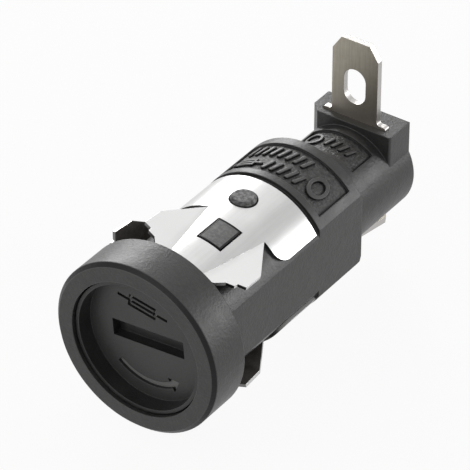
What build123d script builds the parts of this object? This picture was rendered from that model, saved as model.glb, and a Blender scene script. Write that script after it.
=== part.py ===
from build123d import *
from math import cos, radians, sin
import os

os.makedirs("parts", exist_ok=True)

# Frame: +Y runs along the holder's axis to the rear, +Z towards the upright tab, +X to the right
# seen from the front. The origin is on the axis, in the plane of the flange's panel face.
# Angles around the axis are in degrees from +Z towards +X. All sizes are in mm.

# housing, outside
flange_r = 10.9
flange_t = 5.6
flange_chamfer = 0.5
barrel_r = 9.0
barrel_end_y = 28.0
barrel_edge = 0.3
flat_x = 7.7
clip_t = 0.4
clip_sink = 0.05
pocket_r = barrel_r - clip_sink - clip_t
clip_r = pocket_r + clip_t
pocket_y = (0.45, 19.3)
tube_r = 6.5
tube_z = -0.5
tube_end_y = 41.4
tube_edge = 0.5
tube_flat_z = -5.3
block_half_x = 5.7
block_front_y = 36.7
block_rear_y = 40.9
block_top_z = 6.7
block_round = 0.3
block_corner = 1.2
barrel_panel_angle = 50.5
barrel_panel_y = (pocket_y[1] + 1.0, barrel_end_y - 1.6)
tube_panel_angle = 40.0
tube_panel_y = (31.2, 35.4)
panel_depth = 0.3

# fuse, a standard 6.3 x 32 mm cartridge
fuse_length = 31.8
fuse_cap_r = 3.175
fuse_cap_length = 6.2
fuse_cap_wall = 0.3
fuse_glass_r = fuse_cap_r - fuse_cap_wall - 0.02
fuse_glass_wall = 0.75
fuse_wire_r = 0.14
fuse_front_y = 0.6
fuse_rear_y = fuse_front_y + fuse_length

# carrier
head_gap = 0.15
mouth_r = 8.6
head_r = mouth_r - head_gap
rim_set_back = 0.5
rim_wall = 0.45
cup_floor_y = -3.0
head_rear_y = -1.0
seat_gap = 0.1
skirt_r = 5.85
skirt_gap = 0.15
skirt_end_y = 9.0
home_angle = 4.5
slot_length = 9.7
slot_width = 2.2
slot_depth = 1.3
engraving = 0.4
arrow_r = 6.0
arrow_width = 0.85
arrow_tail_angle = 221.0
arrow_neck_angle = 149.0
arrow_tip_angle = 136.0
arrow_head_half = 0.95
symbol_at = (-0.75, 4.0)
symbol_tilt = -9.0
symbol_line = 6.8
symbol_box = (3.8, 1.6)
symbol_stroke = 0.36
sleeve_t = 0.4
sleeve_gap = 0.025
sleeve_bore_r = fuse_cap_r + sleeve_gap
sleeve_r = sleeve_bore_r + sleeve_t
sleeve_end_y = 13.0
sleeve_slit = 0.6
sleeve_slit_y = 9.5

# bayonet
lug_r = 6.85
lug_half_angle = 7.0
lug_y = (5.8, 7.4)
lug_gap = 0.1
lug_turn = 90.0
lug_angles = (0.0, 180.0)

# housing, inside
skirt_bore_end_y = skirt_end_y + 0.4
fuse_bore_r = 3.9

# flat tabs, 6.3 x 0.8 mm
tab_width = 6.3
tab_t = 0.8
tab_chamfer = (1.2, 1.8)
tab_hole = (3.0, 4.7)
tab_hole_from_end = 6.2

# rear terminal with the upright tab
rear_tab_y = 37.7
rear_tab_top_z = 17.4
rear_shoulder_half = 4.4
rear_shoulder_z = block_top_z + 0.3
rear_shoulder_round = 0.4
rear_foot_z = -3.4
terminal_gap = 0.03

# side terminal: its tab leaves the barrel under the tube's flat and leans away from the tube
side_run_z = -5.8
side_bend_y = barrel_end_y + 0.6
side_tab_lean = 10.5
side_tab_length = 13.7
side_tab_start_y = barrel_end_y - 3.0
side_run_end_y = 15.0
side_finger_y = 11.3
side_tip = (9.9, -4.7)
side_finger_half = 2.0
side_channel_gap = 0.1

# spring contact behind the fuse
plunger_r = fuse_bore_r - 0.1
plunger_t = 0.9
plunger_nose_r = 1.6
plunger_nose_t = 1.2
spring_wire = 0.45
spring_sides = 8
spring_r = 2.5
spring_turns = 4.5

# retaining clip
clip_front_y = 0.6
clip_band_y = (11.4, 18.6)
clip_span = 300.0
clip_lobe_angle = 60.0
clip_lobe_round = 2.0
unit_angles = (13.0, 167.0, -90.0)
unit_half_front = 14.0
unit_half_rear = 26.0
window_half_angle = 10.8
window_y = (5.7, 10.0)
window_gap = 0.2
wing_bends = (23.0, 23.0, 33.0)
wing_root = (1.6, 0.0)
wing_tip = (6.25, 3.95)
wing_corner = (3.44, 4.42)
wing_end = (2.11, 2.54)
wing_step = 0.57
wing_tip_round = 0.3
fold_overlap = 0.15
boss_angles = (3.0, 177.0)
boss_y = 14.6
boss_r = 1.55
boss_gap = 0.15
boss_top_r = barrel_r + 0.35
boss_edge = 0.3


def polar(r, angle):
    """Point of the XZ plane at a radius and an angle from +Z towards +X."""
    return (r * sin(radians(angle)), r * cos(radians(angle)))


def along(face, y0, y1):
    """Solid from a face drawn in (X, Z), between two stations on the axis."""
    return extrude(Plane.XZ.offset(-y1) * face, amount=y1 - y0)


def turned(points):
    """Solid of revolution about the Y axis from (radius, y) points."""
    return revolve(make_face(Polyline(*points, close=True)), Axis.Y)


def drum(r, y0, y1, z=0.0):
    """Cylinder along Y."""
    return along(Pos(0, z) * Circle(r), y0, y1)


def sector(r0, r1, a0, a1):
    """Ring sector drawn in (X, Z)."""
    mid = (a0 + a1) / 2
    outer = ThreePointArc(polar(r1, a0), polar(r1, mid), polar(r1, a1))
    inner = ThreePointArc(polar(r0, a1), polar(r0, mid), polar(r0, a0))
    return make_face([outer, Line(outer @ 1, inner @ 0), inner, Line(inner @ 1, outer @ 0)])


def brick(x0, x1, y0, y1, z0, z1):
    """Box between two corners."""
    return Pos((x0 + x1) / 2, (y0 + y1) / 2, (z0 + z1) / 2) * Box(x1 - x0, y1 - y0, z1 - z0)


def radial_pin(r, angle, y, r0, r1):
    """Cylinder along a radius of the holder."""
    x, z = polar(1.0, angle)
    plane = Plane(origin=(x * r0, y, z * r0), z_dir=(x, 0, z))
    return extrude(plane * Circle(r), amount=r1 - r0)


def strip(points, t, half_x):
    """Folded flat strip: a centre line in (y, z), its thickness and half its width."""
    h = t / 2
    normals = []
    for (y0, z0), (y1, z1) in zip(points, points[1:]):
        length = ((y1 - y0) ** 2 + (z1 - z0) ** 2) ** 0.5
        normals.append((-(z1 - z0) / length, (y1 - y0) / length))
    left = []
    right = []
    for i, (y, z) in enumerate(points):
        a = normals[max(i - 1, 0)]
        b = normals[min(i, len(normals) - 1)]
        scale = h / (1 + a[0] * b[0] + a[1] * b[1])
        dy = (a[0] + b[0]) * scale
        dz = (a[1] + b[1]) * scale
        left.append((y + dy, z + dz))
        right.append((y - dy, z - dz))
    outline = Polyline(*left, *reversed(right), close=True)
    return extrude(Plane.YZ * make_face(outline), amount=half_x, both=True)


# Housing: flange, barrel with one flat, rear tube and terminal block in one moulding.
housing = turned([
    (0, -flange_t), (flange_r - flange_chamfer, -flange_t), (flange_r, flange_chamfer - flange_t),
    (flange_r, 0), (barrel_r, 0), (barrel_r, pocket_y[0]), (pocket_r, pocket_y[0]),
    (pocket_r, pocket_y[1]), (barrel_r, pocket_y[1]),
    (barrel_r, barrel_end_y - barrel_edge), (barrel_r - barrel_edge, barrel_end_y), (0, barrel_end_y),
])
housing -= brick(flat_x, flange_r + 1, 0, barrel_end_y + 1, -flange_r, flange_r)
tube = drum(tube_r, barrel_end_y - 1, tube_end_y, tube_z)
tube = chamfer(tube.faces().sort_by(Axis.Y)[-1].edges(), tube_edge)
tube -= brick(-tube_r, tube_r, barrel_end_y, tube_end_y + 1, tube_z - tube_r - 1, tube_flat_z)
block = brick(-block_half_x, block_half_x, block_front_y, block_rear_y, tube_z, block_top_z)
left, right = block.edges().filter_by(Axis.Z).group_by(Axis.Y)[0].sort_by(Axis.X)
block = chamfer(left, block_corner)
right = block.edges().filter_by(Axis.Z).group_by(Axis.X)[-1].sort_by(Axis.Y)[0]
block = fillet(right, block_round)
housing += tube + block

# Recessed fields for lettering.
housing -= along(
    sector(barrel_r - panel_depth, barrel_r + 1, -barrel_panel_angle, barrel_panel_angle), *barrel_panel_y
)
housing -= along(
    Pos(0, tube_z) * sector(tube_r - panel_depth, tube_r + 1, -tube_panel_angle, tube_panel_angle),
    *tube_panel_y,
)

# Keys that stand in the clip's windows and the bosses that hold it along the axis.
for angle in unit_angles:
    key_half = window_half_angle - window_gap / radians(1) / barrel_r
    key = sector(pocket_r - 0.2, barrel_r, angle - key_half, angle + key_half)
    housing += along(key, window_y[0] + window_gap, window_y[1] - window_gap)
for angle in boss_angles:
    boss = radial_pin(boss_r, angle, boss_y, pocket_r - 0.3, boss_top_r)
    housing += chamfer(boss.edges().sort_by_distance((0, boss_y, 0))[-1], boss_edge)

# Stepped bore for the carrier, the fuse and the spring contact.
housing -= turned([
    (0, -flange_t - 1), (mouth_r, -flange_t - 1), (mouth_r, head_rear_y + seat_gap),
    (skirt_r + skirt_gap, head_rear_y + seat_gap), (skirt_r + skirt_gap, skirt_bore_end_y),
    (fuse_bore_r, skirt_bore_end_y), (fuse_bore_r, rear_tab_y), (0, rear_tab_y),
])

# Bayonet tracks: an entry along the axis and a quarter turn to the right.
track_half = lug_half_angle + 1.5
track_r = lug_r + skirt_gap
for angle in lug_angles:
    entry = sector(skirt_r - 1, track_r, angle - track_half, angle + track_half)
    housing -= along(entry, head_rear_y, lug_y[1] + lug_gap)
    lane = sector(skirt_r - 1, track_r, angle - track_half, angle + lug_turn + track_half)
    housing -= along(lane, lug_y[0] - lug_gap, lug_y[1] + lug_gap)

# Seats for the two terminals.
side_channel = side_finger_half + side_channel_gap
tab_low_z = side_run_z - tab_t / 2 - terminal_gap
tab_high_z = side_run_z + tab_t / 2 + terminal_gap
housing -= brick(
    -rear_shoulder_half - terminal_gap, rear_shoulder_half + terminal_gap,
    rear_tab_y, rear_tab_y + tab_t + terminal_gap, rear_foot_z - side_channel_gap, block_top_z + 1,
)
housing -= brick(
    -tab_width / 2 - terminal_gap, tab_width / 2 + terminal_gap,
    side_tab_start_y - side_channel_gap, barrel_end_y + 1, tab_low_z, tab_high_z,
)
housing -= brick(
    -side_channel, side_channel, side_run_end_y, side_tab_start_y, tab_low_z, tab_high_z
)
housing -= brick(
    -side_channel, side_channel, side_tip[0] - tab_t, side_run_end_y + tab_t, tab_low_z, -fuse_bore_r / 2
)
export_step(housing, "parts/housing.step")

# Fuse carrier: cup-shaped head with a driver slot, skirt and two bayonet lugs.
carrier = turned([
    (0, cup_floor_y), (head_r - rim_wall, cup_floor_y), (head_r - rim_wall, rim_set_back - flange_t),
    (head_r, rim_set_back - flange_t), (head_r, head_rear_y), (skirt_r, head_rear_y),
    (skirt_r, skirt_end_y), (sleeve_r + sleeve_gap, skirt_end_y),
    (sleeve_r + sleeve_gap, fuse_front_y - sleeve_t), (0, fuse_front_y - sleeve_t),
])
for angle in lug_angles:
    lug = sector(skirt_r - 0.5, lug_r, angle - lug_half_angle, angle + lug_half_angle)
    carrier += along(lug, *lug_y)
face_cut = (cup_floor_y - 1, cup_floor_y + engraving)
turn_home = Rot(0, 0, home_angle)
carrier -= along(turn_home * Rectangle(slot_length, slot_width), cup_floor_y - 1, cup_floor_y + slot_depth)

# Direction arrow below the slot, engraved: it points the way that releases the carrier.
arrow = sector(
    arrow_r - arrow_width / 2, arrow_r + arrow_width / 2, arrow_neck_angle - 1, arrow_tail_angle
)
arrow += make_face(Polyline(
    polar(arrow_r - arrow_head_half, arrow_neck_angle), polar(arrow_r, arrow_tip_angle),
    polar(arrow_r + arrow_head_half, arrow_neck_angle), close=True,
))
carrier -= along(arrow, *face_cut)

# Fuse symbol above the slot, engraved: a box with the conductor through it.
box_x, box_z = symbol_box
symbol = Rectangle(symbol_line, symbol_stroke)
symbol += Rectangle(box_x, box_z) - Rectangle(box_x - 2 * symbol_stroke, box_z - 2 * symbol_stroke)
carrier -= along(Pos(*symbol_at) * Rot(0, 0, symbol_tilt) * symbol, *face_cut)
export_step(carrier, "parts/fuse_carrier.step")

# Contact sleeve in the carrier: a cup that grips the fuse's front cap.
sleeve = turned([
    (0, fuse_front_y - sleeve_t), (sleeve_r, fuse_front_y - sleeve_t), (sleeve_r, sleeve_end_y),
    (sleeve_bore_r, sleeve_end_y), (sleeve_bore_r, fuse_front_y), (0, fuse_front_y),
])
for angle in (45, 135):
    slit = Rot(0, 0, angle) * Rectangle(3 * sleeve_r, sleeve_slit)
    sleeve -= along(slit, sleeve_slit_y, sleeve_end_y + 1)
export_step(sleeve, "parts/carrier_contact.step")

# Cartridge fuse: two caps, glass tube and wire.
cap = turned([
    (0, 0), (fuse_cap_r, 0), (fuse_cap_r, fuse_cap_length),
    (fuse_cap_r - fuse_cap_wall, fuse_cap_length), (fuse_cap_r - fuse_cap_wall, fuse_cap_wall),
    (0, fuse_cap_wall),
])
export_step(Pos(0, fuse_front_y, 0) * cap, "parts/fuse_cap_front.step")
export_step(Pos(0, fuse_rear_y, 0) * Rot(180, 0, 0) * cap, "parts/fuse_cap_rear.step")
glass_y = (fuse_front_y + fuse_cap_wall, fuse_rear_y - fuse_cap_wall)
glass = drum(fuse_glass_r, *glass_y) - drum(fuse_glass_r - fuse_glass_wall, *glass_y)
export_step(glass, "parts/fuse_tube.step")
export_step(drum(fuse_wire_r, *glass_y), "parts/fuse_wire.step")

# Rear terminal: one flat blank, its foot across the bore and its tab upright.
foot = Pos(0, (rear_shoulder_z + rear_foot_z) / 2) * Rectangle(
    2 * rear_shoulder_half, rear_shoulder_z - rear_foot_z
)


def tab_blank(end, start):
    """Flat tab from its start to its chamfered end, with its hole, drawn with its length upwards."""
    half = tab_width / 2
    cx, cz = tab_chamfer
    blank = make_face(Polyline(
        (-half, start), (half, start), (half, end - cz), (half - cx, end),
        (cx - half, end), (-half, end - cz), close=True,
    ))
    wide, high = tab_hole
    return blank - Pos(0, end - tab_hole_from_end) * Rot(0, 0, 90) * SlotOverall(high, wide)


rear_plate = foot + tab_blank(rear_tab_top_z, rear_shoulder_z - 1)
shoulders = [v for v in rear_plate.vertices() if abs(v.Y - rear_shoulder_z) < 0.01]
rear_plate = fillet(shoulders, rear_shoulder_round)
export_step(along(rear_plate, rear_tab_y, rear_tab_y + tab_t), "parts/rear_terminal.step")

# Side terminal: axial tab under the tube, folded up to a finger that bears on the contact sleeve.
finger_z = -sleeve_r - 0.01 - tab_t / 2
finger = strip([
    (side_tab_start_y + 1, side_run_z), (side_run_end_y, side_run_z),
    (side_finger_y, finger_z), side_tip,
], tab_t, side_finger_half)
finger -= drum(sleeve_r + 0.01, side_tip[0] - 1, sleeve_end_y + 1)
lean_y = side_bend_y + side_tab_length * cos(radians(side_tab_lean))
lean_z = side_run_z - side_tab_length * sin(radians(side_tab_lean))
side_tab = strip([
    (side_tab_start_y, side_run_z), (side_bend_y, side_run_z), (lean_y, lean_z),
], tab_t, tab_width / 2)
leaning = Pos(0, side_bend_y, side_run_z) * Rot(-side_tab_lean, 0, 0)
outline = extrude(leaning * tab_blank(side_tab_length, -tab_width), amount=tab_width, both=True)
side_terminal = finger + (side_tab & outline)
export_step(side_terminal, "parts/side_terminal.step")

# Spring contact: plunger against the fuse's rear cap and coil spring against the rear terminal.
plunger_rear_y = fuse_rear_y + plunger_t
plunger = turned([
    (0, fuse_rear_y), (plunger_r, fuse_rear_y), (plunger_r, plunger_rear_y),
    (plunger_nose_r, plunger_rear_y), (plunger_nose_r, plunger_rear_y + plunger_nose_t),
    (0, plunger_rear_y + plunger_nose_t),
])
export_step(plunger, "parts/contact_plunger.step")
coil_length = rear_tab_y - plunger_rear_y - spring_wire - 0.02
coil = Helix(coil_length / spring_turns, coil_length, spring_r)
wire = Plane(origin=coil @ 0, z_dir=coil % 0) * RegularPolygon(spring_wire / 2, spring_sides)
coil_start = Pos(0, rear_tab_y - spring_wire / 2 - 0.01, 0) * Rot(90, 0, 0)
export_step(coil_start * sweep(wire, coil), "parts/contact_spring.step")

# Retaining clip: a spring-steel C round the barrel, open over the flat, with three snap-in units.
clip_ends = (clip_lobe_angle - clip_span, clip_lobe_angle)
band = along(sector(pocket_r, clip_r, *clip_ends), *clip_band_y)
lobe_edges = band.edges().filter_by(GeomType.LINE).group_by(Axis.Y)[0]
clip = fillet(lobe_edges, clip_lobe_round)
mid_r = pocket_r + clip_t / 2


def ring_point(r, angle, y):
    """Point at a radius, an angle and a station on the axis."""
    x, z = polar(r, angle)
    return Vector(x, y, z)


def wing(angle, side, bend):
    """Plate bent outward at a unit's fold line, toothed along its free front edge."""
    rear = ring_point(mid_r, angle + side * unit_half_rear, clip_band_y[0])
    front = ring_point(mid_r, angle + side * unit_half_front, clip_front_y)
    fold = (rear - front).normalized()
    radial = ring_point(1, angle + side * (unit_half_rear + unit_half_front) / 2, 0)
    flat = radial.cross(fold).normalized() * -side
    out = flat * cos(radians(bend)) + radial * sin(radians(bend))
    sheet = Plane(origin=front, x_dir=fold, z_dir=fold.cross(out))
    length = (rear - front).length
    tooth_x = (wing_corner[0] - wing_end[0] - wing_step) / 2
    tooth_y = (wing_corner[1] - wing_end[1]) / 2
    valley = (wing_corner[0] - tooth_x, wing_corner[1] - tooth_y)
    point = (valley[0] - wing_step, valley[1])
    outline = make_face(Polyline(
        (wing_root[0], -fold_overlap), (length, -fold_overlap), (length, 0), wing_tip,
        wing_corner, valley, point, wing_end, wing_root, close=True,
    ))
    tip = outline.vertices().sort_by_distance((*wing_tip, 0))[0]
    outline = fillet(tip, wing_tip_round)
    return extrude(sheet * outline, amount=clip_t / 2, both=True)


for angle, bend in zip(unit_angles, wing_bends):
    x, z = polar(1.0, angle)
    face_on = Plane(origin=(0, 0, 0), x_dir=(z, 0, -x), z_dir=(x, 0, z))
    rear_half = barrel_r * sin(radians(unit_half_rear))
    front_half = barrel_r * sin(radians(unit_half_front))
    y_sign = 1 if face_on.y_dir.Y > 0 else -1
    base = make_face(Polyline(
        (-front_half, y_sign * clip_front_y), (front_half, y_sign * clip_front_y),
        (rear_half, y_sign * (clip_band_y[0] + 0.1)), (-rear_half, y_sign * (clip_band_y[0] + 0.1)),
        close=True,
    ))
    clip += extrude(face_on * base, amount=barrel_r + 1) & along(
        sector(pocket_r, clip_r, angle - 60, angle + 60), 0, clip_band_y[1]
    )
    for side in (-1, 1):
        clip += wing(angle, side, bend)
    window = sector(pocket_r - 1, barrel_r + 1, angle - window_half_angle, angle + window_half_angle)
    clip -= along(window, *window_y)
clip -= drum(pocket_r, -1, barrel_end_y)
for angle in boss_angles:
    clip -= radial_pin(boss_r + boss_gap, angle, boss_y, pocket_r - 1, barrel_r + 1)
export_step(clip.solids().sort_by(SortBy.VOLUME)[-1], "parts/retaining_clip.step")
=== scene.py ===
import math

import bmesh
import bpy
from mathutils import Matrix, Vector


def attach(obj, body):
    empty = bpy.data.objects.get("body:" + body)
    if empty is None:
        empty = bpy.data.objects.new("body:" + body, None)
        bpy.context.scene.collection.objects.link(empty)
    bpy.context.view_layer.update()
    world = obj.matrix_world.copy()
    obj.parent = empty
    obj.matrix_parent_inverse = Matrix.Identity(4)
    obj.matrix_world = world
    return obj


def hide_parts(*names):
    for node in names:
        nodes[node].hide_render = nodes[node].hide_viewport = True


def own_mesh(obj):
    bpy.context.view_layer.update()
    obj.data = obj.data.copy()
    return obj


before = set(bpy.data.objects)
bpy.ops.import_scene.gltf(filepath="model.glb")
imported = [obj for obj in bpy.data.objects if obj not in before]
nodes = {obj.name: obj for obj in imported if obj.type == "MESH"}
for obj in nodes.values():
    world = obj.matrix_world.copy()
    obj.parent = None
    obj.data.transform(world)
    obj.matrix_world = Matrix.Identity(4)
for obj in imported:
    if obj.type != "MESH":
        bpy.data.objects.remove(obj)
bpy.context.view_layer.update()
mm = 0.001
print("frame loaded:", len(nodes), "nodes")


class Value:  # a number, colour or vector in a finish's nodes, so that shader maths reads as Python
    def __init__(self, finish, socket):
        self.finish = finish
        self.socket = socket

    def maths(self, operation, first, second):
        return self.finish.add("ShaderNodeMath", {"operation": operation}, {0: first, 1: second})

    def __add__(self, other):
        return self.maths("ADD", self, other)

    def __radd__(self, other):
        return self.maths("ADD", other, self)

    def __sub__(self, other):
        return self.maths("SUBTRACT", self, other)

    def __rsub__(self, other):
        return self.maths("SUBTRACT", other, self)

    def __mul__(self, other):
        return self.maths("MULTIPLY", self, other)

    def __rmul__(self, other):
        return self.maths("MULTIPLY", other, self)

    def __truediv__(self, other):
        return self.maths("DIVIDE", self, other)

    def __pow__(self, other):
        return self.maths("POWER", self, other)

    def __gt__(self, other):
        return self.maths("GREATER_THAN", self, other)

    def __lt__(self, other):
        return self.maths("LESS_THAN", self, other)


class Finish:  # the nodes of one material, or of the world; sizes and depths are given in mm
    def __init__(self, owner):
        self.owner = owner
        owner.use_nodes = True
        self.tree = owner.node_tree
        self.tree.nodes.clear()

    def add(self, kind, settings=None, inputs=None, output=0):
        node = self.tree.nodes.new(kind)
        for name, setting in (settings or {}).items():
            setattr(node, name, setting)
        for name, given in (inputs or {}).items():
            if isinstance(given, Value):
                self.tree.links.new(given.socket, node.inputs[name])
            else:
                node.inputs[name].default_value = given
        return Value(self, node.outputs[output]) if len(node.outputs) else None

    def split(self, vector):
        return [self.add("ShaderNodeSeparateXYZ", {}, {"Vector": vector}, output=axis) for axis in "XYZ"]

    def place(self, stretch=(1, 1, 1)):
        point = self.add("ShaderNodeTexCoord", output="Object")
        return self.add("ShaderNodeMapping", {"vector_type": "POINT"}, {"Vector": point, "Scale": stretch})

    def point(self):  # x, y and z of a spot, in metres
        return self.split(self.place())

    def facing(self):  # x, y and z of the way the surface faces
        return self.split(self.add("ShaderNodeTexCoord", output="Normal"))

    def reach(self, centreZ=0.0):  # distance from a line along Y
        x, _, z = self.point()
        lifted = z - centreZ * mm
        return (x * x + lifted * lifted) ** 0.5

    def ramp(self, given, low, high):  # 0 up to low, 1 from high
        return self.add("ShaderNodeMapRange", {"clamp": True}, {
            "Value": given, "From Min": low, "From Max": high, "To Min": 0.0, "To Max": 1.0,
        })

    def fade(self, given, low, high):  # the same between two places in mm
        return self.ramp(given, low * mm, high * mm)

    def noise(self, size, detail=3, rough=0.5, stretch=(1, 1, 1)):
        return self.add("ShaderNodeTexNoise", {"noise_dimensions": "3D"}, {
            "Vector": self.place(stretch), "Scale": 1 / (size * mm), "Detail": detail, "Roughness": rough,
        })

    def patches(self, low, high, **cloud):
        return self.ramp(self.noise(**cloud), low, high)

    def nook(self, reach, low, high, samples=8):  # how far a spot is shut in by what stands near it
        clear = self.add("ShaderNodeAmbientOcclusion", {"samples": samples}, {"Distance": reach * mm}, output="AO")
        return self.ramp(1 - clear, low, high)

    def softened(self, radius, samples=6):  # normal with rounded edges
        return self.add("ShaderNodeBevel", {"samples": samples}, {"Radius": radius * mm})

    def onEdge(self, softened, low=0.01, high=0.12):  # how much of an edge a spot is
        flat = self.add("ShaderNodeNewGeometry", output="Normal")
        same = self.add(
            "ShaderNodeVectorMath", {"operation": "DOT_PRODUCT"}, {0: softened, 1: flat}, output="Value"
        )
        return self.ramp(1 - same, low, high)

    def mix(self, share, first, second):  # sockets 6 and 7 take the Mix node's colours, and output 2 gives one
        return self.add("ShaderNodeMix", {"data_type": "RGBA"}, {0: share, 6: first, 7: second}, output=2)

    def bump(self, height, depth, normal=None):
        inputs = {"Height": height, "Distance": depth * mm, "Strength": 1.0}
        if normal:
            inputs["Normal"] = normal
        return self.add("ShaderNodeBump", {}, inputs)

    def surface(self, **inputs):
        sockets = {name.replace("_", " "): given for name, given in inputs.items()}
        shader = self.add("ShaderNodeBsdfPrincipled", {}, sockets)
        self.add("ShaderNodeOutputMaterial", {}, {"Surface": shader})
        return self.owner


def newFinish(name):
    return Finish(bpy.data.materials.new(name))


def grey(tone, warmth=0.0):
    return (tone * (1 + warmth), tone, tone * (1 - warmth), 1)


def between(given, low, high, inset=0.0):  # 1 between two places in mm, else 0
    return (given > (low + inset) * mm) * (given < (high - inset) * mm)


def spread(ends, share):  # a number between two ends
    return ends[0] + (ends[1] - ends[0]) * share


housingLook = {
    "dark": grey(0.014, 0.03), "light": grey(0.034, 0.03), "edge": grey(0.085, 0.02), "paintedShade": grey(0.012),
    "key": grey(0.15, 0.01), "fieldLight": grey(0.075, 0.02), "roughness": (0.34, 0.54), "ior": 1.5,
    "edgeRadius": 0.18, "nook": {"reach": 0.45, "low": 0.06, "high": 0.34}, "sheenLost": 0.7,
    "cloud": {"size": 5.0, "detail": 4, "rough": 0.6, "low": 0.35, "high": 0.65},
    "speck": {"size": 0.45, "detail": 2, "low": 0.66, "high": 0.76},
    "grain": {"size": 0.30, "detail": 3}, "grainDepth": 0.034,
    "mottle": {"size": 0.42, "detail": 3, "rough": 0.6}, "mottleDepth": 0.26, "patches": (0.42, 0.62),
    "ripple": {"size": 1.6, "detail": 3, "rough": 0.6}, "rippleDepth": 0.05,
    "shares": {"cloud": 0.6, "patches": 0.3, "edge": 0.45, "speck": 0.16, "fields": 0.6, "keys": 0.6},
    "roughShares": {"cloud": 0.4, "ripple": 0.4, "grain": 0.2},
    "barrelField": {"along": (20.3, 26.4), "under": 8.85, "centreZ": 0.0},
    "tubeField": {"along": (31.2, 35.4), "under": 6.35, "centreZ": -0.5},
    "keyAlong": (5.6, 10.1), "keyAcross": (0.25, 3.7), "sideKeyAcross": (-1.75, 1.75), "sideKeyX": -8.0,
    "keyInset": 0.45, "keyOver": 8.93, "bossAlong": (12.9, 16.3), "bossOver": 9.04,
    "bandBefore": -5.15, "bandOver": 10.45, "flatX": 7.6,
}
# the raised marks painted lighter than the moulding, a painted highlight on their tops
markLook = {**housingLook, "dark": grey(0.034, 0.02), "light": grey(0.060, 0.02), "edge": grey(0.14, 0.02)}


def housingPlastic(name, look):
    finish = newFinish(name)
    x, y, z = finish.point()
    out = finish.reach()
    offFlat = x < look["flatX"] * mm

    def recessed(field):
        low = finish.reach(field["centreZ"]) < field["under"] * mm
        return between(y, *field["along"]) * low * offFlat

    def window(inset):  # the clip's windows, which the moulded keys fill
        upright = between(x, *look["keyAcross"], inset)
        aside = between(z, *look["sideKeyAcross"], inset)
        return between(y, *look["keyAlong"], inset) * (upright + (x < look["sideKeyX"] * mm) * aside)

    fields = recessed(look["barrelField"]) + recessed(look["tubeField"])
    windows = window(0)
    keys = window(look["keyInset"]) * (out > look["keyOver"] * mm)
    # the flange's front chamfer band, painted dark as a painted reflection
    band = (y < look["bandBefore"] * mm) * (out > look["bandOver"] * mm)
    raised = between(y, *look["bossAlong"]) * (out > look["bossOver"] * mm)
    normal = finish.softened(look["edgeRadius"])
    edge = finish.onEdge(normal)
    cloud = finish.patches(**look["cloud"])
    speck = finish.patches(**look["speck"])
    grain = finish.noise(**look["grain"])
    ripple = finish.noise(**look["ripple"])
    mottle = finish.noise(**look["mottle"])
    patches = finish.ramp(mottle, *look["patches"])
    # painted shade: the chamfer band off its edges, the gaps round the keys, and the crevices of the marked fields
    # as far as they are shut in
    paintedShade = band * (1 - edge) + windows * (1 - keys) + fields * finish.nook(**look["nook"])
    share = look["shares"]
    # the keys and the bosses painted lighter, a painted highlight on their rounded tops
    keyAndBossHighlight = keys * (share["keys"] + (1 - share["keys"]) * patches) + raised * patches
    colour = finish.mix(cloud * share["cloud"] + patches * share["patches"], look["dark"], look["light"])
    # edges painted lighter, a painted highlight; the specks are a random lighter tone
    colour = finish.mix(edge * share["edge"] + speck * share["speck"], colour, look["edge"])
    colour = finish.mix(fields * patches * share["fields"], colour, look["fieldLight"])
    colour = finish.mix(keyAndBossHighlight, colour, look["key"])
    colour = finish.mix(paintedShade, colour, look["paintedShade"])
    rough = look["roughShares"]
    fine = finish.bump(grain, look["grainDepth"], finish.bump(ripple, look["rippleDepth"], normal))
    return finish.surface(
        Base_Color=colour, IOR=look["ior"], Metallic=paintedShade * look["sheenLost"],  # metallic takes the sheen off the painted shade, to darken it further
        Roughness=spread(
            look["roughness"], cloud * rough["cloud"] + ripple * rough["ripple"] + grain * rough["grain"]
        ),
        Normal=finish.bump(mottle * fields, look["mottleDepth"], fine),
    )


carrierLook = {
    "dark": grey(0.014, 0.02), "light": grey(0.024, 0.02), "edge": grey(0.060), "floor": grey(0.036, 0.02),
    "litGroove": grey(0.18, 0.02), "roughness": (0.38, 0.48), "ior": 1.46, "edgeRadius": 0.1,
    "cloud": {"size": 3.5, "detail": 4, "rough": 0.6, "low": 0.35, "high": 0.65},
    "grain": {"size": 0.20, "detail": 2}, "grainDepth": 0.026,
    "shares": {"cloud": 0.8, "floor": 0.8, "litGroove": 0.8, "edge": 0.15},
    "floorAlong": (-3.1, -2.9), "grooveAlong": (-2.75, -2.45), "facesFront": -0.5,
}


def carrierPlastic(look):
    finish = newFinish("carrierPlastic")
    y = finish.point()[1]
    front = finish.facing()[1] < look["facesFront"]
    normal = finish.softened(look["edgeRadius"])
    edge = finish.onEdge(normal)
    cloud = finish.patches(**look["cloud"])
    share = look["shares"]
    colour = finish.mix(cloud * share["cloud"], look["dark"], look["light"])
    colour = finish.mix(front * between(y, *look["floorAlong"]) * share["floor"], colour, look["floor"])
    # the floors of the engraved arrow and sign painted light, a painted highlight in the grooves
    colour = finish.mix(front * between(y, *look["grooveAlong"]) * share["litGroove"], colour, look["litGroove"])
    # edges painted lighter, a painted highlight
    colour = finish.mix(edge * share["edge"], colour, look["edge"])
    return finish.surface(
        Base_Color=colour, Roughness=spread(look["roughness"], cloud), IOR=look["ior"],
        Normal=finish.bump(finish.noise(**look["grain"]), look["grainDepth"], normal),
    )


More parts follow.
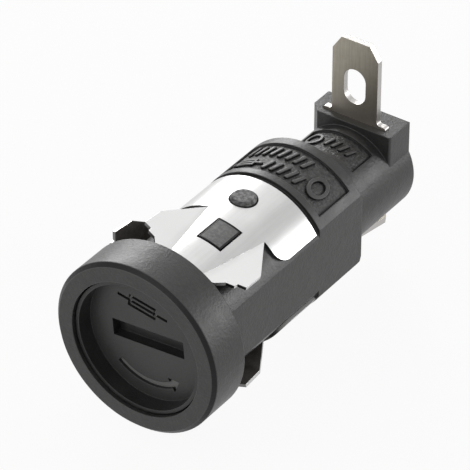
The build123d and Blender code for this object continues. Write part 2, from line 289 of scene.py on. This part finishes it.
clipLook = {  # bright outside, painted darker on the cut edges and painted dark on the inward faces, as painted shade
    "bright": grey(0.53, 0.004), "dull": grey(0.45, 0.006), "cut": grey(0.17, 0.01),
    "inside": grey(0.10, 0.08), "insideDull": grey(0.045, 0.14), "insideRougher": 0.3,
    "wing": grey(0.54, 0.004), "wingOver": (9.0, 9.3), "roughness": (0.28, 0.37), "edgeRadius": 0.04,
    "streak": {"size": 0.35, "detail": 3, "rough": 0.6, "stretch": (1, 0.05, 1)}, "streakDepth": 0.0006,
    "streakRange": (0.35, 0.7), "shares": {"streak": 0.34, "cloud": 0.5},
    "cloud": {"size": 4.5, "detail": 3, "low": 0.3, "high": 0.7},
    "stain": {"size": 1.3, "detail": 4, "rough": 0.65, "low": 0.36, "high": 0.64},
    "outwards": 0.5, "inwards": -0.5,
}
wingLook = {**clipLook, "edgeRadius": 0.01}


def clipSteel(name, look):
    finish = newFinish(name)
    x, _, z = finish.point()
    across, _, up = finish.facing()
    facing = (x * across + z * up) / finish.reach()  # 1 where the sheet faces outwards, -1 inwards
    inside = facing < look["inwards"]
    onWing = finish.fade(finish.reach(), *look["wingOver"])
    streaks = finish.noise(**look["streak"])
    cloud = finish.patches(**look["cloud"])
    stain = finish.patches(**look["stain"])
    share = look["shares"]
    dull = finish.ramp(streaks, *look["streakRange"]) * share["streak"] + cloud * share["cloud"]
    colour = finish.mix(dull, look["bright"], look["dull"])
    # the wings painted a touch lighter and without the dull streaks, a painted reflection
    colour = finish.mix(onWing, colour, look["wing"])
    # cut edges painted darker, as painted shade
    colour = finish.mix(facing < look["outwards"], colour, look["cut"])
    # inward faces painted dark as painted shade, with a random mottle, and made non-metal so that they reflect
    # little
    colour = finish.mix(inside, colour, finish.mix(stain, look["inside"], look["insideDull"]))
    return finish.surface(
        Base_Color=colour, Metallic=1 - inside,
        Roughness=spread(look["roughness"], cloud) + inside * look["insideRougher"],
        Normal=finish.bump(streaks, look["streakDepth"], finish.softened(look["edgeRadius"])),
    )


terminalLook = {
    "face": (0.41, 0.38, 0.32, 1), "darkFace": (0.26, 0.235, 0.19, 1), "root": (0.36, 0.33, 0.29, 1),
    "cut": grey(0.44, 0.03), "roughness": (0.34, 0.5), "edgeRadius": 0.06, "squareOn": 0.5,
    "streak": {"size": 0.22, "detail": 4, "rough": 0.65}, "streakStretch": 0.06, "streakDepth": 0.002,
    "streakRange": (0.3, 0.7), "shares": {"streak": 0.5, "cloud": 0.3},
    "cloud": {"size": 1.7, "detail": 5, "rough": 0.68, "low": 0.36, "high": 0.66}, "rootWaver": 1.2,
}
uprightLook = {**terminalLook, "along": "z", "faces": "y", "rootEnds": (6.8, 12.5)}
axialLook = {**terminalLook, "along": "y", "faces": "z", "rootEnds": (27.0, 32.0)}


def terminalMetal(name, look):
    finish = newFinish(name)
    place = finish.point()["xyz".index(look["along"])]
    facing = finish.facing()["xyz".index(look["faces"])]
    cut = facing * facing < look["squareOn"]
    stretch = [look["streakStretch"] if axis == look["along"] else 1 for axis in "xyz"]
    streaks = finish.noise(**look["streak"], stretch=stretch)
    cloud = finish.patches(**look["cloud"])
    # a plain tone towards the root, without the streaks
    pastRoot = finish.fade(place + cloud * look["rootWaver"] * mm, *look["rootEnds"])
    share = look["shares"]
    shade = finish.ramp(streaks, *look["streakRange"]) * share["streak"] + cloud * share["cloud"]
    colour = finish.mix(shade, look["face"], look["darkFace"])
    colour = finish.mix(pastRoot, look["root"], colour)
    colour = finish.mix(cut, colour, look["cut"])
    return finish.surface(
        Base_Color=colour, Metallic=1.0, Roughness=spread(look["roughness"], streaks),
        Normal=finish.bump(streaks, look["streakDepth"], finish.softened(look["edgeRadius"])),
    )


smallLook = {  # shared by the small turned and drawn metals
    "edgeRadius": 0.06, "turning": {"size": 0.12, "detail": 2, "stretch": (0.2, 1, 0.2)}, "turningDepth": 0.002,
    "cloud": {"size": 1.6, "detail": 4, "rough": 0.6, "low": 0.35, "high": 0.7},
}
metalLooks = {
    "contactBrass": {"bright": (0.80, 0.62, 0.32, 1), "dull": (0.60, 0.44, 0.22, 1), "roughness": (0.24, 0.4)},
    "capNickel": {"bright": (0.80, 0.78, 0.74, 1), "dull": (0.66, 0.64, 0.60, 1), "roughness": (0.14, 0.28)},
    "fuseElement": {"bright": (0.72, 0.71, 0.69, 1), "dull": (0.5, 0.49, 0.47, 1), "roughness": (0.3, 0.45)},
    "springSteel": {"bright": (0.68, 0.68, 0.69, 1), "dull": (0.46, 0.46, 0.47, 1), "roughness": (0.25, 0.4)},
}


def smallMetal(name, look):
    finish = newFinish(name)
    turning = finish.noise(**look["turning"])
    cloud = finish.patches(**look["cloud"])
    return finish.surface(
        Base_Color=finish.mix(cloud, look["bright"], look["dull"]), Metallic=1.0,
        Roughness=spread(look["roughness"], cloud),
        Normal=finish.bump(turning, look["turningDepth"], finish.softened(look["edgeRadius"])),
    )


glassLook = {
    "tint": (0.95, 0.97, 0.97, 1), "roughness": (0.02, 0.05), "ior": 1.47,
    "ripple": {"size": 3.0, "detail": 2}, "rippleDepth": 0.01,
}


def fuseGlass(look):
    finish = newFinish("fuseGlass")
    ripple = finish.noise(**look["ripple"])
    return finish.surface(
        Base_Color=look["tint"], Roughness=spread(look["roughness"], ripple), IOR=look["ior"],
        Transmission_Weight=1.0, Normal=finish.bump(ripple, look["rippleDepth"]),
    )


markFinish = housingPlastic("markPlastic", markLook)
rootFinish = clipSteel("wingSteel", wingLook)
metals = {name: smallMetal(name, {**smallLook, **look}) for name, look in metalLooks.items()}
finishes = {
    "housing": housingPlastic("housingPlastic", housingLook),
    "fuse_carrier": carrierPlastic(carrierLook),
    "retaining_clip": clipSteel("clipSteel", clipLook),
    "rear_terminal": terminalMetal("terminalUpright", uprightLook),
    "side_terminal": terminalMetal("terminalAxial", axialLook),
    "carrier_contact": metals["contactBrass"],
    "contact_plunger": metals["contactBrass"],
    "contact_spring": metals["springSteel"],
    "fuse_cap_front": metals["capNickel"],
    "fuse_cap_rear": metals["capNickel"],
    "fuse_tube": fuseGlass(glassLook),
    "fuse_wire": metals["fuseElement"],
}
for name, material in finishes.items():
    nodes[name].data.materials.clear()
    nodes[name].data.materials.append(material)
print("finishes on", len(finishes), "nodes")


def newObject(name, data):
    made = bpy.data.objects.new(name, data)
    bpy.context.scene.collection.objects.link(made)
    return made


def meshObject(name, mesh, material):
    data = bpy.data.meshes.new(name)
    mesh.to_mesh(data)
    mesh.free()
    data.materials.append(material)
    return newObject(name, data)


def dress(name, mesh, material):  # a finished mesh becomes a piece on the holder
    bmesh.ops.recalc_face_normals(mesh, faces=mesh.faces)
    piece = meshObject(name, mesh, material)
    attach(piece, "holder")
    return piece


pressedSpring = {"node": "contact_spring", "joint": "plunger_press", "stroke": 0.8, "weld": 0.001}


def placeSpring(look):  # a welded copy of the spring, put on the holder in place of the part
    mesh = bmesh.new()
    mesh.from_mesh(nodes[look["node"]].data)
    bmesh.ops.remove_doubles(mesh, verts=mesh.verts, dist=look["weld"] * mm)
    spring = dress("pressedSpring", mesh, metals["springSteel"])
    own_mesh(spring)
    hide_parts(look["node"])


placeSpring(pressedSpring)


# Raised marks in the two recessed fields, drawn flat in mm and then bent round the moulding.
markShape = {"slant": 0.28, "barStep": 0.4, "bevel": 0.06, "bevelSteps": 2, "ringSteps": 40, "sunk": 0.02}
barrelMarks = {
    **markShape, "radius": 8.7, "centreZ": 0.0, "height": 0.28, "rows": (21.9, 24.7), "stroke": 0.42,
    "tall": 1.8, "symbol": (2.6, 1.3), "symbolAt": -28.0, "symbolLead": 0.9, "symbolStroke": 0.8,
    "frontStrokes": (-8.0, -1.0, 6.0, 13.0, 20.0), "rearStrokes": (-34, -27, -20, -13, -6, 1, 8, 15),
    "ring": (1.25, 1.75), "ringAt": (34.0, 22.9),
}
tubeMarks = {
    **markShape, "radius": 6.2, "centreZ": -0.5, "height": 0.26, "rows": (33.3,), "stroke": 0.34,
    "tall": 1.5, "frontStrokes": (-4.0, 5.0, 14.0, 23.0), "rearStrokes": (),
    "ring": (1.15, 1.15), "ringAt": (-24.0, 33.3),
}


def newBar(mesh, marks, centre, size, slant=0.0):
    wide, tall = size
    steps = max(1, math.ceil(wide / marks["barStep"]))
    made = bmesh.ops.create_grid(mesh, x_segments=steps, y_segments=1, size=0.5)["verts"]
    bmesh.ops.scale(mesh, verts=made, vec=(wide, tall, 1))
    faces = [face for face in mesh.faces if all(vert in made for vert in face.verts)]
    raised = bmesh.ops.extrude_face_region(mesh, geom=faces)["geom"]
    top = [item for item in raised if isinstance(item, bmesh.types.BMVert)]
    bmesh.ops.translate(mesh, verts=top, vec=(0, 0, marks["height"]))

    def onTop(part):
        return all(vert in top for vert in part.verts)

    rim = [edge for edge in mesh.edges if onTop(edge) and not all(onTop(face) for face in edge.link_faces)]
    leaning = Matrix(((1, slant, 0, centre[0]), (0, 1, 0, centre[1]), (0, 0, 1, 0), (0, 0, 0, 1)))
    bmesh.ops.transform(mesh, matrix=leaning, verts=made + top)
    bmesh.ops.bevel(
        mesh, geom=rim, offset=marks["bevel"], affect="EDGES", segments=marks["bevelSteps"], profile=0.5,
        material=-1, clamp_overlap=True,
    )


def newRing(mesh, marks, centre):
    wide, tall = marks["ring"]
    inner = wide - marks["stroke"]
    height = marks["height"]
    corners = [(inner, 0, 0), (inner, 0, height), (wide, 0, height), (wide, 0, 0)]
    before = set(mesh.verts)
    profile = [mesh.verts.new(corner) for corner in corners]
    lines = [mesh.edges.new(pair) for pair in zip(profile, profile[1:])]
    bmesh.ops.spin(
        mesh, geom=profile + lines, cent=(0, 0, 0), axis=(0, 0, 1), dvec=(0, 0, 0), angle=2 * math.pi,
        steps=marks["ringSteps"], use_merge=True,
    )
    made = [vert for vert in mesh.verts if vert not in before]
    stretch = Matrix(((1, 0, 0, centre[0]), (0, tall / wide, 0, centre[1]), (0, 0, 1, 0), (0, 0, 0, 1)))
    bmesh.ops.transform(mesh, matrix=stretch, verts=made)


def bendRound(mesh, marks):
    for vert in mesh.verts:
        across, along, up = vert.co
        angle = across / marks["radius"]
        reach = marks["radius"] + up - marks["sunk"]
        vert.co = Vector((
            reach * math.sin(angle), along, marks["centreZ"] + reach * math.cos(angle),
        )) * mm


def drawSymbol(mesh, marks, middle, row):  # a box with a line through it, the usual sign for a fuse
    wide, tall = marks["symbol"]
    stroke = marks["stroke"] * marks["symbolStroke"]
    for side in (-1, 1):
        newBar(mesh, marks, (middle, row + side * (tall - stroke) / 2), (wide, stroke))
        newBar(mesh, marks, (middle + side * (wide - stroke) / 2, row), (stroke, tall))
    newBar(mesh, marks, (middle, row), (wide + 2 * marks["symbolLead"], stroke))


def placeMarks(name, marks):
    mesh = bmesh.new()
    perDegree = math.radians(1) * marks["radius"]
    front, rear = marks["rows"][0], marks["rows"][-1]
    strokes = [(at, front) for at in marks["frontStrokes"]] + [(at, rear) for at in marks["rearStrokes"]]
    for at, along in strokes:
        newBar(mesh, marks, (at * perDegree, along), (marks["stroke"], marks["tall"]), marks["slant"])
    if "symbol" in marks:
        drawSymbol(mesh, marks, marks["symbolAt"] * perDegree, front)
    at, along = marks["ringAt"]
    newRing(mesh, marks, (at * perDegree, along))
    bendRound(mesh, marks)
    dress(name, mesh, markFinish)


placeMarks("barrelRelief", barrelMarks)
placeMarks("tubeRelief", tubeMarks)
print("raised marks in both fields")


wingRoots = {  # thin front corners of the clip's wings, close behind the flange; outline in each wing's plane
    "unitAngles": (13.0, 167.0, -90.0), "bends": (23.0, 23.0, 33.0), "frontHalf": 14.0, "rearHalf": 26.0,
    "radius": 8.75, "frontY": 0.6, "rearY": 11.4, "thickness": 0.42,
    "outline": ((0.1, -0.1), (2.0, -0.1), (2.45, 2.55), (2.11, 2.54), (1.36, 2.08), (0.93, 1.81), (0.1, 0.5)),
}


def atAngle(radius, angle, along):
    turn = math.radians(angle)
    return Vector((radius * math.sin(turn), along, radius * math.cos(turn)))


def newWingRoot(mesh, look, angle, bend, side):  # side is -1 or 1, for the unit's left or right wing
    front = atAngle(look["radius"], angle + side * look["frontHalf"], look["frontY"])
    rear = atAngle(look["radius"], angle + side * look["rearHalf"], look["rearY"])
    radial = atAngle(1, angle + side * (look["frontHalf"] + look["rearHalf"]) / 2, 0)
    fold = (rear - front).normalized()
    flat = radial.cross(fold).normalized() * -side
    out = flat * math.cos(math.radians(bend)) + radial * math.sin(math.radians(bend))
    corners = [mesh.verts.new((x, y, -look["thickness"] / 2)) for x, y in look["outline"]]
    sheet = bmesh.ops.extrude_face_region(mesh, geom=[mesh.faces.new(corners)])["geom"]
    top = [item for item in sheet if isinstance(item, bmesh.types.BMVert)]
    bmesh.ops.translate(mesh, verts=top, vec=(0, 0, look["thickness"]))
    turned = Matrix((fold, out, fold.cross(out))).transposed().to_4x4()
    placed = Matrix.Scale(mm, 4) @ Matrix.Translation(front) @ turned
    bmesh.ops.transform(mesh, matrix=placed, verts=corners + top)


def placeWingRoots(look):
    mesh = bmesh.new()
    for angle, bend in zip(look["unitAngles"], look["bends"]):
        for side in (-1, 1):
            newWingRoot(mesh, look, angle, bend, side)
    dress("wingRoots", mesh, rootFinish)


placeWingRoots(wingRoots)
print("front corners on the clip's wings")


studio = {
    "floorZ": -0.0125, "floorSize": 3.0, "floorTone": 0.8, "floorGlow": 0.92, "worldTone": 0.42,
    "lamps": (
        {"name": "backLamp", "at": (-0.40, 0.39, 0.20), "size": 0.24, "power": 1.65},
        {"name": "upperLamp", "at": (-0.17, 0.46, 0.50), "size": 0.55, "power": 0.46},
        {"name": "rimLamp", "at": (0.44, 0.40, 0.14), "size": 0.17, "power": 1.05},
        {"name": "frontLamp", "at": (-0.13, -0.52, 0.27), "size": 0.50, "power": 1.05},
    ),
    "aim": (0, 0.016, 0),
}


def seenWhite(finish, lit, white, glow):  # the camera, metal and glass see white; the rest is as lit
    camera, glossy, glass = [finish.add("ShaderNodeLightPath", output=ray) for ray in (
        "Is Camera Ray", "Is Glossy Ray", "Is Transmission Ray",
    )]
    seen = finish.add("ShaderNodeMath", {"operation": "MINIMUM"}, {0: camera + glossy + glass, 1: 1.0})
    return finish.add("ShaderNodeMixShader", {}, {0: seen * glow, 1: lit, 2: white})


def newFloor(look):
    mesh = bmesh.new()
    bmesh.ops.create_grid(mesh, x_segments=2, y_segments=2, size=look["floorSize"] / 2)
    bmesh.ops.translate(mesh, verts=mesh.verts, vec=(0, 0, look["floorZ"]))
    finish = newFinish("palePaper")
    matt = finish.add("ShaderNodeBsdfDiffuse", {}, {"Color": grey(look["floorTone"])})
    white = finish.add("ShaderNodeEmission", {}, {"Color": grey(1.0), "Strength": 1.0})
    shader = seenWhite(finish, matt, white, look["floorGlow"])
    finish.add("ShaderNodeOutputMaterial", {}, {"Surface": shader})
    meshObject("studioFloor", mesh, finish.owner)


def newWorld(look):
    bpy.context.scene.world = bpy.data.worlds.new("studio")
    finish = Finish(bpy.context.scene.world)
    soft = finish.add("ShaderNodeBackground", {}, {"Color": grey(look["worldTone"]), "Strength": 1.0})
    white = finish.add("ShaderNodeBackground", {}, {"Color": grey(1.0), "Strength": 1.0})
    finish.add("ShaderNodeOutputWorld", {}, {"Surface": seenWhite(finish, soft, white, 1.0)})


def newLamp(look, aim):
    data = bpy.data.lights.new(look["name"], "AREA")
    data.shape = "SQUARE"
    data.size = look["size"]
    data.energy = look["power"]
    away = Vector(look["at"]) - Vector(aim)
    turned = away.to_track_quat("Z", "Y").to_matrix().to_4x4()
    newObject(look["name"], data).matrix_world = Matrix.Translation(look["at"]) @ turned


newFloor(studio)
newWorld(studio)
for lamp in studio["lamps"]:
    newLamp(lamp, studio["aim"])
bpy.context.scene.view_settings.view_transform = "Standard"
print("studio lit")


photoView = {
    "azimuth": 35.19, "elevation": 36.05, "from": (0.18871, -0.25394, 0.24191),
    "lens": 275.0, "sensor": 36.0, "shift": (-0.0006, 0.0101), "clipStart": 0.01,
}


def newCamera(look):
    data = bpy.data.cameras.new("photoView")
    data.lens = look["lens"]
    data.sensor_width = look["sensor"]
    data.shift_x, data.shift_y = look["shift"]
    data.clip_start = look["clipStart"]
    turn = math.radians(look["azimuth"])
    rise = math.radians(look["elevation"])
    back = Vector((
        math.sin(turn) * math.cos(rise), -math.cos(turn) * math.cos(rise), math.sin(rise),
    ))
    right = Vector((math.cos(turn), math.sin(turn), 0))
    turned = Matrix((right, back.cross(right), back)).transposed().to_4x4()
    camera = newObject("photoView", data)
    camera.matrix_world = Matrix.Translation(look["from"]) @ turned
    bpy.context.scene.camera = camera


newCamera(photoView)
print("camera set")
